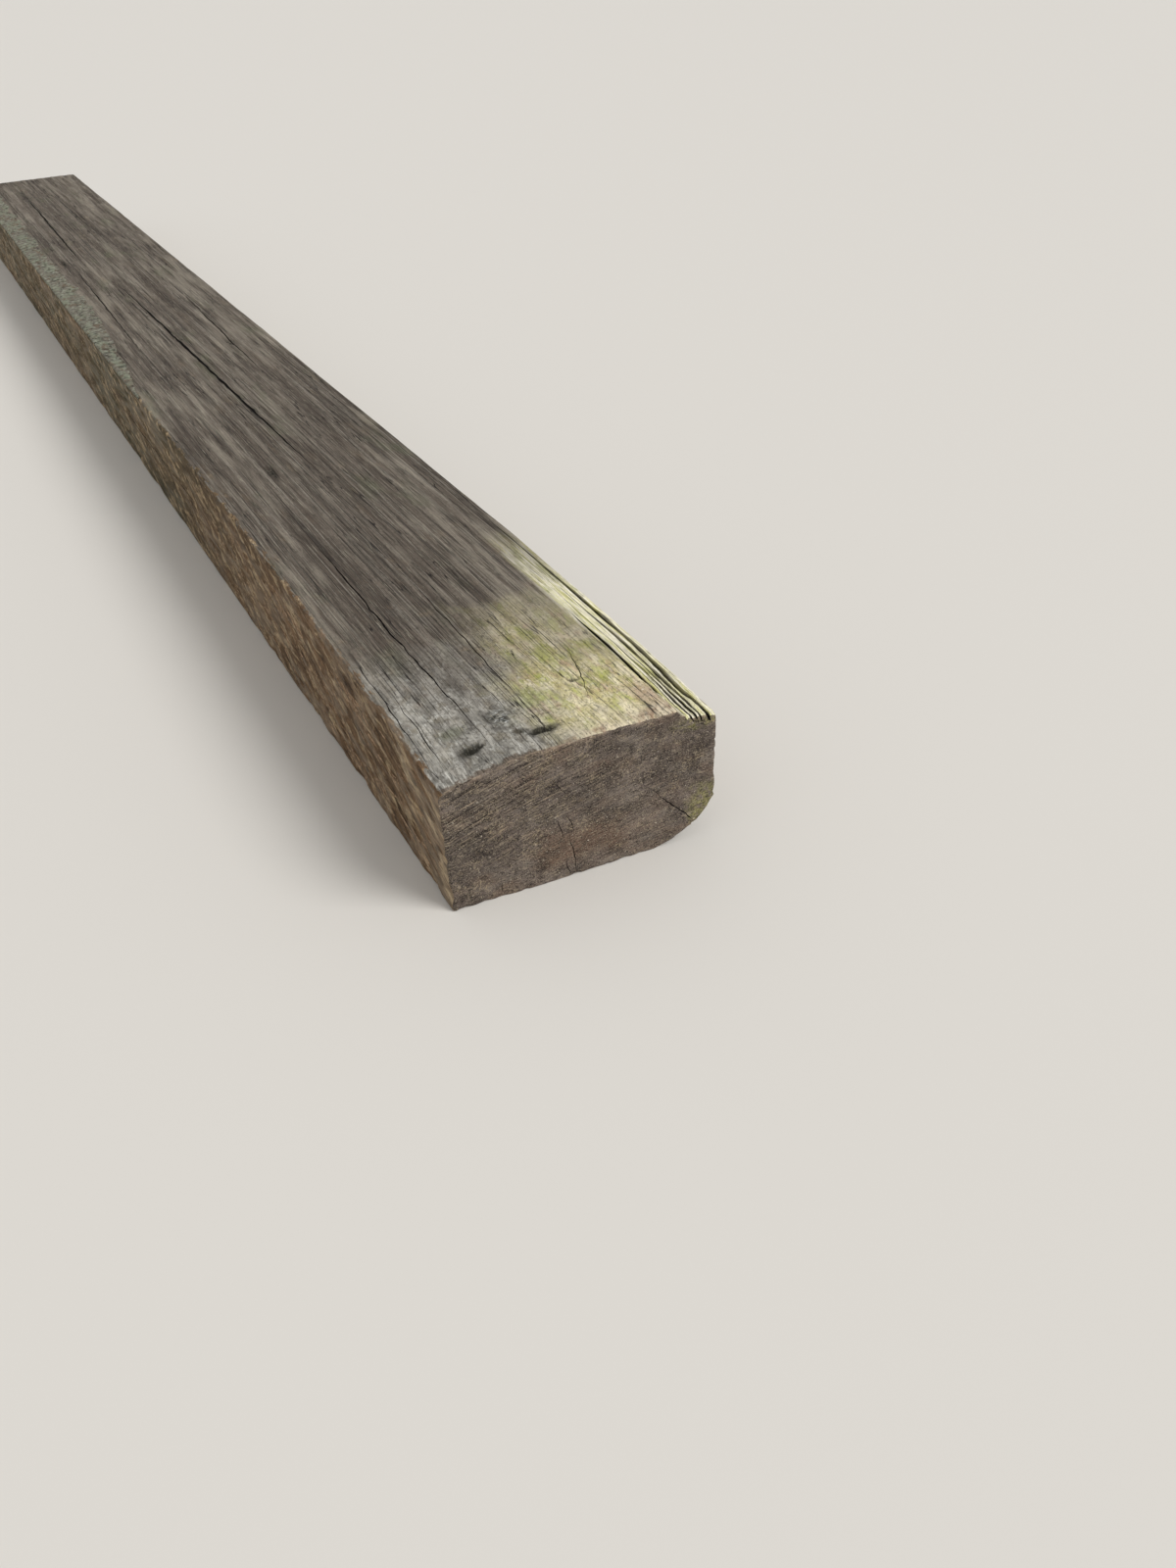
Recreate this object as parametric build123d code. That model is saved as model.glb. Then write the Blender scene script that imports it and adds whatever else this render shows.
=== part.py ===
from build123d import *
import math
import os

# An old hardwood railway sleeper of the long kind that carries switches and crossings.
# It is one sawn baulk with the heart boxed in near the top face. The log was a little too
# small for it, so its round outside still shows as wane along the lower right arris.
# Frame, in millimetres: +X runs along the timber to the end that is seen, +Y to the right
# for someone who looks at that end, +Z up. The origin is the middle of the bed.

# Driving sizes of the sawn baulk
length = 3500.0
width = 290.0
height = 165.0
seen_end_skew = 28.0  # how far the left corner of the seen end lies behind its right corner
far_end_skew = 9.0  # how far the right corner of the far end lies in front of its left corner
arris_round = 2.5  # rounding that handling has left on the sawn arrises

# The wane, where the round outside of the log shows: distance behind the seen end, its height
# on the right side, its width on the bed, and how far the log bulges beyond a straight chamfer
wane_sections = (
    (0.0, 54.0, 68.0, 10.0),
    (380.0, 50.0, 60.0, 8.5),
    (1000.0, 38.0, 52.0, 7.0),
    (1750.0, 36.0, 40.0, 5.0),
    (2600.0, 22.0, 30.0, 3.0),
    (length, 14.0, 17.0, 1.5),
)

# The worn shoulder on the upper left arris, deepest at the seen end
shoulder_drop = 21.0  # at the left side, on the seen end
shoulder_reach = 88.0  # how far in from the left side it starts
shoulder_round = 2.0  # how far its slope stands above the straight line
shoulder_mid = 120.0  # distance behind the seen end at which it is much shallower
shoulder_mid_drop = 8.0
shoulder_run = 340.0  # distance behind the seen end at which it has run out

# The strip that has broken out along the upper right arris
strip_width = 43.0  # at the top
strip_bank = 13.0  # how much narrower it is at its bottom
strip_depth = 13.5  # on the seen end
strip_mid = 150.0  # distance behind the seen end at which it is much shallower
strip_mid_depth = 4.0
strip_run = 420.0  # distance behind the seen end at which it has run out

# Splits between the slivers of that strip: distance in from the right side, mouth and depth on
# the seen end, mouth and depth where the split is widest, and the distance at which it closes
split_widest = 62.0  # distance behind the seen end
split_closing = 0.35  # share of its mouth that a split still has at its bottom
sliver_splits = (
    (34.0, 2.4, 4.0, 2.6, 7.0, 300.0),
    (25.0, 2.6, 3.0, 3.0, 9.0, 240.0),
    (16.5, 3.0, 5.0, 3.8, 14.0, 380.0),
    (7.5, 4.2, 6.0, 7.4, 20.0, 520.0),
)

# Drying checks in the top face: start and end as (distance behind the seen end, distance in
# from the left side), then the mouth and the depth
top_checks = (
    ((34.0, 68.4), (640.0, 70.0), 3.2, 32.0),
    ((54.0, 123.5), (430.0, 132.0), 2.4, 18.0),
    ((38.0, 8.0), (290.0, 13.0), 2.4, 32.0),
    ((44.0, 19.0), (210.0, 22.0), 2.0, 24.0),
    ((64.0, 184.0), (172.0, 214.0), 1.8, 12.0),
    ((760.0, 150.0), (2050.0, 128.0), 4.6, 46.0),
    ((1260.0, 214.0), (1840.0, 224.0), 2.8, 20.0),
    ((1500.0, 62.0), (2240.0, 74.0), 2.6, 22.0),
    ((2280.0, 98.0), (3320.0, 112.0), 3.8, 36.0),
    ((2560.0, 188.0), (3150.0, 180.0), 2.6, 18.0),
)

# Drying checks in the left side: start and end as (distance behind the seen end, height above
# the bed), then the mouth and the depth
side_checks = (
    ((900.0, 92.0), (1620.0, 84.0), 2.4, 22.0),
    ((2050.0, 70.0), (2780.0, 78.0), 2.8, 26.0),
)

# Radial checks in the seen end as (in from the left side, above the bed), with mouth and depth
wane_split = ((272.0, 16.0), (254.0, 37.8), (234.4, 57.6), (217.0, 79.4), (205.7, 91.5))
wane_split_mouth = 2.6
wane_split_depth = 90.0
end_checks = (
    (((110.5, 128.9), (117.4, 117.3), (124.9, 105.2), (129.2, 96.9)), 1.4, 24.0),
    (((113.9, 78.5), (116.8, 66.2), (120.2, 52.7)), 1.7, 30.0),
    (((125.3, 79.4), (129.5, 67.3), (131.3, 56.0)), 1.9, 30.0),
    (((126.4, 54.1), (128.6, 38.8), (130.9, 23.2), (131.9, 4.8)), 1.9, 36.0),
    (((121.9, 26.6), (123.2, 14.0), (125.5, 2.0)), 1.3, 20.0),
)

# Radial checks in the far end, placed as on the seen one
far_checks = (
    (((140.0, 132.0), (160.0, 104.0), (186.0, 78.0), (214.0, 52.0)), 3.0, 70.0),
    (((112.0, 126.0), (98.0, 96.0), (91.0, 70.0)), 2.2, 45.0),
    (((150.0, 60.0), (157.0, 36.0), (160.0, 14.0)), 1.8, 30.0),
)

# Small decayed hollows in the top: distance behind the seen end, distance in from the left
# side, height of the bottom above the bed, and radius
hollows = ((60.0, 51.3, 153.5, 11.0), (46.5, 119.6, 160.0, 12.5))

# The splinter that has come off the lower left corner of the seen end
chip_width = 6.0
chip_height = 36.0
chip_run = 70.0

# How far a cutter stands clear of the face that it enters, and how narrow a check gets inside
clear = 6.0
check_closing = 0.15
check_tip = 0.12  # half of a check's width where it ends, so that its outline has no double point

left_y = -width / 2
right_y = width / 2
seen_x = length / 2
far_x = -length / 2

# Planes whose local x and y are the two distances that the tables above give
seen_left = Vector(seen_x - seen_end_skew, left_y, 0)
seen_plane = Plane(seen_left, x_dir=(seen_end_skew, width, 0), z_dir=(width, -seen_end_skew, 0))
far_left = Vector(far_x, left_y, 0)
far_plane = Plane(far_left, x_dir=(far_end_skew, width, 0), z_dir=(-width, far_end_skew, 0))
top_plane = Plane((seen_x, left_y, height), x_dir=(-1, 0, 0), z_dir=(0, 0, 1))
side_plane = Plane((seen_x, left_y, 0), x_dir=(-1, 0, 0), z_dir=(0, -1, 0))


def sawn_baulk():
    """The baulk as it left the saw: both ends are a little out of square."""
    plan = Polygon(
        (far_x, left_y),
        (seen_x - seen_end_skew, left_y),
        (seen_x, right_y),
        (far_x + far_end_skew, right_y),
        align=None,
    )
    blank = extrude(plan, amount=height)
    return fillet(blank.edges(), arris_round)


def wane_section(behind, on_side, on_bed, bulge):
    """One cross-section of what the log lacks of the baulk at its lower right arris."""
    x = seen_x - behind
    slant = math.hypot(on_side, on_bed)
    high = (x, right_y, on_side)
    low = (x, right_y - on_bed, 0)
    middle = (x, right_y - on_bed / 2 + bulge * on_side / slant, on_side / 2 - bulge * on_bed / slant)
    beyond = (x, right_y + clear, -clear)
    outside = Polyline(low, (x, low[1], -clear), beyond, (x, beyond[1], on_side), high)
    return make_face([ThreePointArc(high, middle, low), outside])


def wane():
    """What the log lacks of the baulk: it shrinks towards the far end, where the log was thicker."""
    first, last = wane_sections[0], wane_sections[-1]
    stations = ((first[0] - clear, *first[1:]), *wane_sections[1:-1], (last[0] + clear, *last[1:]))
    return loft([wane_section(*station) for station in stations])


def shoulder_section(behind, drop, reach):
    """One cross-section of what weather and knocks have taken off the upper left arris."""
    x = seen_x - behind
    outer = (x, left_y - clear, height - drop - drop * clear / reach)
    inner = (x, left_y + reach, height + 0.01 * reach)
    middle = (x, left_y + (reach - clear) / 2, (outer[2] + inner[2]) / 2 + shoulder_round)
    slope = ThreePointArc(outer, middle, inner)
    back = Polyline(inner, (x, inner[1], height + 2 * clear), (x, outer[1], height + 2 * clear), outer)
    return make_face([slope, back])


def shoulder():
    """The worn shoulder, which runs out along the timber."""
    sections = [
        shoulder_section(-clear, shoulder_drop, shoulder_reach),
        shoulder_section(shoulder_mid, shoulder_mid_drop, shoulder_reach),
        shoulder_section(shoulder_run, -shoulder_round - 0.5, shoulder_reach),
    ]
    return loft(sections, ruled=True)


def strip_section(behind, depth):
    """One cross-section of the broken strip: a low floor, and a sloping bank on its left."""
    x = seen_x - behind
    floor = height - depth
    bank_top = right_y - strip_width
    bank_foot = bank_top + strip_bank
    slope = strip_bank / strip_depth
    return make_face(
        Polyline(
            (x, right_y + clear, floor),
            (x, bank_foot, floor),
            (x, bank_foot - slope * (depth + clear), height + clear),
            (x, right_y + clear, height + clear),
            close=True,
        )
    )


def broken_strip():
    """The step left where a strip has split away, which runs out along the timber."""
    return loft(
        [
            strip_section(-clear, strip_depth),
            strip_section(strip_mid, strip_mid_depth),
            strip_section(strip_run, -0.01),
        ],
        ruled=True,
    )


def split_section(behind, from_right, mouth, bottom):
    """One cross-section of a split: steep walls that lean together, with the mouth above the top face."""
    x = seen_x - behind
    y = right_y - from_right
    brim = height + clear
    wide, narrow = mouth / 2, mouth / 2 * split_closing
    corners = ((x, y - wide, brim), (x, y + wide, brim), (x, y + narrow, bottom), (x, y - narrow, bottom))
    return make_face(Polyline(*corners, close=True))


def sliver_split(from_right, mouth, depth, widest, deepest, run):
    """A split between two slivers: it is widest a little behind the seen end and closes at its run."""
    floor = height - strip_depth
    sections = [
        split_section(-clear, from_right, mouth, floor - depth),
        split_section(split_widest, from_right, widest, floor - deepest),
        split_section(run, from_right, widest * check_closing, height + 1),
    ]
    return loft(sections, ruled=True)


def check_outline(route, mouth, open_start):
    """A crack's outline about its route: widest in the middle, or at its start if it is open there."""
    count = len(route)
    sides = ([], [])
    for n, (u, v) in enumerate(route):
        before = route[max(n - 1, 0)]
        after = route[min(n + 1, count - 1)]
        run_u, run_v = after[0] - before[0], after[1] - before[1]
        run = math.hypot(run_u, run_v)
        share = n / (count - 1)
        opening = 1 - share if open_start else math.sin(math.pi * share)
        half = max(mouth / 2 * opening, check_tip)
        for side, way in zip(sides, (1, -1)):
            side.append((u - way * half * run_v / run, v + way * half * run_u / run))
    return sides[0] + sides[1][::-1]


def check(plane, route, mouth, depth, open_start=False):
    """A drying check that opens on a plane and closes towards its bottom."""
    outer = check_outline(route, mouth, open_start)
    inner = check_outline(route, mouth * check_closing, open_start)
    mouth_face = plane.offset(clear) * make_face(Polyline(*outer, close=True))
    root_face = plane.offset(-depth) * make_face(Polyline(*inner, close=True))
    return loft([mouth_face, root_face], ruled=True)


def long_route(start, end):
    """A check along the grain: straight, and in three points so that it is widest half way."""
    middle = tuple((a + b) / 2 for a, b in zip(start, end))
    return (start, middle, end)


def hollow(behind, from_left, bottom, radius):
    """A shallow round hollow, as the cap of a sphere that is sunk into the top face."""
    return Pos(seen_x - behind, left_y + from_left, bottom + radius) * Sphere(radius)


def chip_section(inward, reach, top):
    """One cross-section of the lost splinter, square to the seen end."""
    corner = Polyline((-clear, -clear), (reach, -clear), (reach / 2, top), (-clear, top), close=True)
    return seen_plane.offset(-inward) * make_face(corner)


def chip():
    """The splinter that has left the lower left corner of the seen end."""
    widest = chip_section(-clear, chip_width, chip_height)
    end = chip_section(chip_run, -1, chip_height)
    return loft([widest, end], ruled=True)


def sleeper():
    """The finished timber: the baulk without its wane, wear, broken strip and checks."""
    timber = sawn_baulk() - wane()
    timber -= shoulder()
    timber -= broken_strip()
    for split in sliver_splits:
        timber -= sliver_split(*split)
    for start, end, mouth, depth in top_checks:
        timber -= check(top_plane, long_route(start, end), mouth, depth)
    for start, end, mouth, depth in side_checks:
        timber -= check(side_plane, long_route(start, end), mouth, depth)
    timber -= check(seen_plane, wane_split, wane_split_mouth, wane_split_depth, open_start=True)
    for route, mouth, depth in end_checks:
        timber -= check(seen_plane, route, mouth, depth)
    for route, mouth, depth in far_checks:
        timber -= check(far_plane, route, mouth, depth)
    for place in hollows:
        timber -= hollow(*place)
    timber -= chip()
    return timber


os.makedirs("parts", exist_ok=True)
part = sleeper()
export_step(part, "parts/sleeper.step")
print("solids", len(part.solids()), "volume", round(part.volume / 1e6, 2), "dm3", "box", part.bounding_box())
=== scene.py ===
import math

import bpy
import numpy as np
from mathutils import Matrix, Vector


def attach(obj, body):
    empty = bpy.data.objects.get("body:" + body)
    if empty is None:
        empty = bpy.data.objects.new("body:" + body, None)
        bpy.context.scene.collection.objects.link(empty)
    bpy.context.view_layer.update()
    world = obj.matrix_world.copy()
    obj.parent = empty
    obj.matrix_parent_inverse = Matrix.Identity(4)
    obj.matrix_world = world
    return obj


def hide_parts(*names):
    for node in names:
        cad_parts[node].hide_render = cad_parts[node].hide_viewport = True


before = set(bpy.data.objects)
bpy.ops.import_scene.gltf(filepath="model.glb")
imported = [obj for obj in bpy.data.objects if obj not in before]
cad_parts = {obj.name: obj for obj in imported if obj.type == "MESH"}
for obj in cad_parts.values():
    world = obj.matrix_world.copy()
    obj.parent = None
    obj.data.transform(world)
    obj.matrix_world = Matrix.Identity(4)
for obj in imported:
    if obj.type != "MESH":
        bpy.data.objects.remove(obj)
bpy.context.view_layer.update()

# The sawn baulk. One length of old oak with the heart boxed in, sawn square, soaked with
# creosote and left in the weather. Its faces are worked out on one closed grid that wraps the
# whole timber, and every bit of wear is carved inwards from the sawn size.

# Sizes are in millimetres. "Behind" is the distance from the seen end, "across" is from the left
# side and "above" from the bed.
LONG, WIDE, TALL = 3500.0, 290.0, 165.0
# How far the left corner of the seen end and the right corner of the far end are set back
SEEN_SKEW, FAR_SKEW = 28.0, 9.0


def noise(a, b, seed):
    """Smooth noise from -1 to 1: random values on whole numbers of a and b, eased between them."""
    table = np.random.default_rng(seed).uniform(-1, 1, (256, 256))
    cell_a, cell_b = np.floor(a).astype(int), np.floor(b).astype(int)
    part_a, part_b = a - cell_a, b - cell_b
    part_a, part_b = part_a**2 * (3 - 2 * part_a), part_b**2 * (3 - 2 * part_b)
    rows, sides = (cell_a % 256, (cell_a + 1) % 256), (cell_b % 256, (cell_b + 1) % 256)
    near, far = (table[row, sides[0]] * (1 - part_b) + table[row, sides[1]] * part_b for row in rows)
    return near * (1 - part_a) + far * part_a


def rounded(distance, radius):
    """Wear next to an arris: the fall of a quarter circle, no deeper than its middle."""
    inside = np.clip(radius - distance, 0, radius)
    return np.minimum(radius - np.sqrt(np.maximum(radius**2 - inside**2, 0)), 0.3 * radius)


def ramp(value, start, full):
    """A share that runs straight from nought at one value to one at another."""
    return np.clip((value - start) / (full - start), 0, 1)


def hill(square):
    """A smooth hill over a squared distance: one in the middle and nothing past one."""
    return np.clip(1 - square, 0, 1) ** 2


# The worn shoulder on the upper left arris: its drop at places behind the end, and its reach
SHOULDER_BEHIND = (-6, 120, 340)
SHOULDER_DROP = (21, 8, 0)
SHOULDER_REACH = 88.0
# The strip broken out along the upper right arris: its drop at places, where it starts across
# the top, how wide its sloping bank is, and where the grid's lines begin to follow its splits
STRIP_BEHIND = (-6, 150, 420)
STRIP_DROP = (13.5, 4, 0)
STRIP_EDGE = WIDE - 43.0
STRIP_BANK = 13.0
STRIP_LINES = 242.0
# The splits between its slivers: from the right side, mouth and depth at the end, mouth and
# depth where widest, run
SPLITS = ((34.0, 2.2, 2.5, 3.0, 6, 300), (29.5, 0.9, 1, 1.4, 4, 200), (25.0, 2.4, 3, 3.2, 8, 240),
          (20.5, 0.9, 1, 1.4, 5, 160), (16.0, 2.8, 5, 4.0, 13, 380), (7.5, 4.2, 5, 7.4, 20, 520))
SPLIT_WIDEST = 62.0
# The decayed margin along the upper left arris: its width and drop at places behind the end
MARGIN_BEHIND = (1250, 1420, 1900, 3250, 3420)
MARGIN_WIDE = (0, 20, 46, 50, 0)
MARGIN_DROP = (0, 3, 5, 5, 0)
# Small decayed hollows: distance behind, from the left, along, across, depth
HOLLOWS = ((60, 51.3, 5.6, 10, 3.6), (47.5, 121.5, 5, 13.5, 3.6), (58, 100, 3.5, 5, 1.6),
           (111, 188, 4, 6, 2.4), (820, 90, 14, 8, 4), (1490, 215, 18, 9, 5), (2310, 60, 12, 7, 4))
# The knot on the ledge: distance behind, from the left, along, across
KNOT = (89.0, 94.2, 20.0, 13.5)
# How steeply the fibres of the left side slope down towards the seen end, in degrees
SIDE_LEAN = 17.0
# The share of sunk grain at which the finish paints neither shade into a groove nor a highlight onto a
# ridge
EVEN_SUNK = 0.45


def split_middles():
    """Each split's middle, and its greatest width, measured from the left side."""
    return [(WIDE - split[0], split[3]) for split in SPLITS]


def drift(behind, across):
    """How far the grid's lines move sideways to follow the splits' edges. Each edge has its own
    shift, from the split's width and sway there, and lines between two edges share theirs out."""
    marks, shifts = [STRIP_LINES], [behind * 0]
    for number, (middle, widest) in enumerate(split_middles()):
        mouth, run = SPLITS[number][1], SPLITS[number][5]
        width = np.interp(behind, (0, SPLIT_WIDEST, run), (mouth, widest, 0.3))
        width = width * (1 + 0.22 * noise(behind / 17, behind * 0 + middle, 11))
        sway = 0.4 * noise(behind / 48, behind * 0 + middle, 10)
        if number == len(SPLITS) - 1:
            # the split next to the right side bends round a thicker sliver
            sway = sway - 2.2 * hill(((behind - 60) / 40) ** 2)
        marks += [middle - widest / 2, middle + widest / 2]
        shifts += [sway - (width - widest) / 2, sway + (width - widest) / 2]
    marks.append(WIDE)
    shifts.append(behind * 0)
    moved = behind * 0
    for number in range(1, len(marks) - 1):
        before, here, after = marks[number - 1 : number + 2]
        share = np.minimum((across - before) / (here - before), (after - across) / (after - here))
        moved = moved + np.clip(share, 0, 1) * shifts[number]
    return moved


def top_form(behind, across):
    """The large wear of the top: the shoulder falls towards the left arris, the broken strip
    towards the right as a wedge that runs out, and the decayed margin dips at the left."""
    drop = np.interp(behind, SHOULDER_BEHIND, SHOULDER_DROP)
    share = ramp(across, 0, SHOULDER_REACH)
    shoulder = drop * (1 - share) - 0.36 * drop * share * (1 - share)
    bank = ramp(across, STRIP_EDGE, STRIP_EDGE + STRIP_BANK)
    ragged = np.clip(bank + 0.18 * noise(behind / 9, across / 5, 3), 0, 1)
    bank_drop = STRIP_DROP[0] * np.where(bank > 0, ragged, 0)
    strip = np.minimum(np.interp(behind, STRIP_BEHIND, STRIP_DROP), bank_drop)
    margin = np.interp(behind, MARGIN_BEHIND, MARGIN_WIDE) * (1 + 0.2 * noise(behind / 60, across * 0, 2))
    dip = np.clip(1 - across / np.maximum(margin, 1), 0, 1) ** 0.6
    decayed = np.interp(behind, MARGIN_BEHIND, MARGIN_DROP) * dip
    return shoulder + strip + decayed


def pitting(behind, across):
    """The hollows and splits alone: the depth that each one takes out, with steep ragged walls."""
    depth = behind * 0
    for place, side, along, wide, deep in HOLLOWS:
        ragged = 1 + 0.6 * noise(behind / 3.1, across / 3.6, 8)
        square = ((behind - place) / along) ** 2 + ((across - side) / wide) ** 2
        depth = np.maximum(depth, deep * np.clip((1 - square * ragged) * 1.6, 0, 1))
    for (middle, widest), (_, _, deep, _, deepest, run) in zip(split_middles(), SPLITS):
        fall = np.interp(behind, (0, SPLIT_WIDEST, run), (deep, deepest, 0))
        share = np.clip((across - middle) / widest + 0.5, 0, 1)
        depth = depth + fall * np.clip(np.minimum(share, 1 - share) / 0.16, 0, 1)
    return depth


def top_relief(behind, across):
    """The top's weathered skin: long grain ridges, lumpier on the uncovered ledge, a knot that
    stands out, and slivers, each at its own height."""
    wander = across + 2.2 * noise(behind / 130, across / 40, 4)
    bare = ramp(behind, 150, 90)
    grain = 0.45 * noise(behind / 120, wander / 7.5, 5) + 0.35 * noise(behind / 60, wander / 4.4, 6)
    lumps = 0.45 * noise(behind / 11, across / 8, 28) + 0.35 * noise(behind / 5, across / 4.5, 29)
    depth = 1.0 + grain * (1 - 0.55 * bare) + lumps * bare + 0.4 * noise(behind / 240, across / 60, 7)
    ring = np.hypot((behind - KNOT[0]) / KNOT[2], (across - KNOT[1]) / KNOT[3])
    unbroken = np.clip(noise(behind / 12, across / 12, 26) + 0.6, 0, 1)
    rim = 1.3 * np.exp(-(((ring - 1.0) / 0.15) ** 2)) * unbroken
    depth = depth - 0.9 * hill(ring**2) * (1 + 0.6 * noise(behind / 3.5, across / 5, 27)) + rim
    sliver = np.searchsorted([middle for middle, _ in split_middles()], across)
    height = 1.5 * noise(behind / 150, sliver * 7.3, 9) + 0.6 * noise(behind / 35, sliver * 5.1, 12)
    in_strip = ramp(across, STRIP_EDGE, STRIP_EDGE + 4) * ramp(behind, 440, 190)
    return np.maximum(depth + in_strip * (0.9 + height), 0.1)


def left_relief(behind, above):
    """The left side: torn fibres and long shallow scoops that slope down towards the seen end."""
    lean = math.radians(SIDE_LEAN)
    down = behind * math.cos(lean) + above * math.sin(lean)
    over = above * math.cos(lean) - behind * math.sin(lean)
    scoops = np.clip(noise(down / 30, over / 10.5, 12) - 0.1, 0, 1) * 2.8
    fibres = 0.5 * noise(down / 24, over / 5.2, 13) + 0.35 * noise(down / 12, over / 3.6, 14)
    return np.maximum(0.9 + scoops + fibres + 0.4 * noise(behind / 300, above / 70, 15), 0.1)


def right_relief(behind, above):
    """The right side: plainer sawn grain, with a dent in it above the wane near the seen end."""
    grain = 0.4 * noise(behind / 110, above / 6.5, 16) + 0.3 * noise(behind / 50, above / 3.6, 17)
    dent = 1.6 * hill(((above - 92) / 20) ** 2 + (behind / 90) ** 2)
    nick = 1.6 * hill(((above - 61) / 8) ** 2 + (behind / 50) ** 2)
    return np.maximum(0.6 + grain + dent + nick, 0.1)


def bed_relief(behind, across):
    """The bed: flat enough to lie on, with shallow grain between the bearing ridges."""
    return np.maximum(0.35 + 0.5 * noise(behind / 120, across / 7, 18), 0)


def end_relief(across, above):
    """A sawn end: shallow hollows where the fibres have shrunk and broken."""
    rough = 0.8 * noise(across / 46, above / 40, 19) + 0.35 * noise(across / 17, above / 13, 20)
    return np.maximum(1.1 + rough + 0.22 * noise(across / 6.1, above / 5.3, 21), 0.1)


# The wane along the lower right arris: distance behind, height on the side, width on the bed,
# and how far the log bulges past a straight chamfer. It is measured from a point inside the
# timber, given as across and above.
WANE = np.array(((0, 54, 68, 10), (380, 50, 60, 8.5), (1000, 38, 52, 7), (1750, 36, 40, 5),
                 (2600, 22, 30, 3), (3500, 14, 17, 1.5)), float)
MIDST = (WIDE - 150.0, 150.0)


def wane_reach(behind, across, above):
    """Distances along a ray from the point inside the timber: to the place asked about, to the
    sawn faces and to the log's skin. Also whether the ray meets the wane at all. The skin is a
    circle through the chamfer's two edges, and the ray's length to it is the larger root of the
    usual quadratic."""
    high, low, bulge = (np.interp(behind, WANE[:, 0], WANE[:, n]) for n in (1, 2, 3))
    out_a, out_z = across - MIDST[0], above - MIDST[1]
    far = np.maximum(np.hypot(out_a, out_z), 1e-6)
    ray_a, ray_z = out_a / far, out_z / far
    slant = np.hypot(high, low)
    radius = slant**2 / (8 * bulge) + bulge / 2
    centre_a = WIDE - low / 2 - (radius - bulge) * high / slant - MIDST[0]
    centre_z = high / 2 + (radius - bulge) * low / slant - MIDST[1]
    dot = ray_a * centre_a + ray_z * centre_z
    skin = dot + np.sqrt(np.maximum(dot**2 - centre_a**2 - centre_z**2 + radius**2, 0))
    box = np.minimum((WIDE - MIDST[0]) / np.maximum(ray_a, 1e-6), MIDST[1] / np.maximum(-ray_z, 1e-6))
    turn = np.arctan2(-out_z, out_a)
    first = np.arctan2(MIDST[1] - high, WIDE - MIDST[0])
    last = np.arctan2(MIDST[1], WIDE - low - MIDST[0])
    inside = np.clip((turn - first) * 12, 0, 1) * np.clip((last - turn) * 12, 0, 1)
    return far, box, skin, inside * ((out_a > 0) & (out_z < 0))


def spaced(length, places, gaps):
    """Grid lines along a length: their spacing runs straight between the gaps given at places."""
    fine = np.linspace(0, length, 20001)
    count = np.concatenate([[0], np.cumsum(np.diff(fine) / np.interp(fine[1:], places, gaps))])
    lines = round(count[-1])
    return np.interp(np.arange(lines + 1) / lines * count[-1], count, fine)


def strip_columns():
    """Grid lines over the broken strip: five to each split, from edge to edge, and one or two on
    each sliver between them."""
    edge = 253.0
    lines = list(np.arange(STRIP_LINES, edge, 2.0))
    for middle, widest in split_middles():
        start = middle - widest / 2
        between = (0.5,) if start - edge < 3 else (0.33, 0.67)
        lines += [edge + (start - edge) * share for share in between]
        lines += [start + widest * share for share in (0, 0.16, 0.5, 0.84, 1)]
        edge = start + widest
    return lines + [WIDE - 2.4, WIDE - 1.1, WIDE]


inward = spaced(
    LONG,
    (0, 5, 130, 420, 1000, 2500, 3300, 3470, 3500),
    (1.6, 2.4, 2.9, 12, 36, 58, 40, 9, 2.6),
)
columns = np.concatenate([spaced(240, (0, 6, 12, 240), (1.5, 2.2, 3.4, 3.3)), strip_columns()])
courses = spaced(TALL, (0, 6, 12, 153, 159, 165), (1.6, 2.2, 3.1, 3.1, 2.2, 1.6))


def closed_grid(n_in, n_across, n_up):
    """The six faces of a block as grids of point numbers that share their edges: the steps of each
    point along the three directions, the quads, and the count of quads in each face. A point is
    numbered by its steps inwards, then across, then up."""
    rows, height = n_across + 1, n_up + 1

    def number(i, j, k):
        return (i * rows + j) * height + k

    i, j, k = np.arange(n_in + 1), np.arange(rows), np.arange(height)
    sheets = (
        (number(0, j[:, None], k[None]), False),
        (number(n_in, j[:, None], k[None]), True),
        (number(i[:, None], 0, k[None]), True),
        (number(i[:, None], n_across, k[None]), False),
        (number(i[:, None], j[None], 0), False),
        (number(i[:, None], j[None], n_up), True),
    )
    quads = []
    for sheet, turned in sheets:
        ring = [sheet[:-1, :-1], sheet[1:, :-1], sheet[1:, 1:], sheet[:-1, 1:]]
        quads.append(np.stack(ring[::-1] if turned else ring, -1).reshape(-1, 4))
    used, joined = np.unique(np.concatenate(quads), return_inverse=True)
    steps = np.stack([used // (rows * height), used // height % rows, used % height], -1)
    return steps, joined.reshape(-1, 4), [len(face) for face in quads]


# Wear of the arrises, as the radius of a quarter circle: at the sawn ends, at the bed, and along
# the upper left and upper right, each on the top and on the side. The ends' roughness is shared
# out over END_DEEP of the length, so that no two grid lines cross.
END_WEAR, BED_WEAR = 3.2, 1.6
LEFT_WEAR, RIGHT_WEAR = (5.0, 4.5), (2.2, 1.6)
END_DEEP = 45.0


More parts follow.
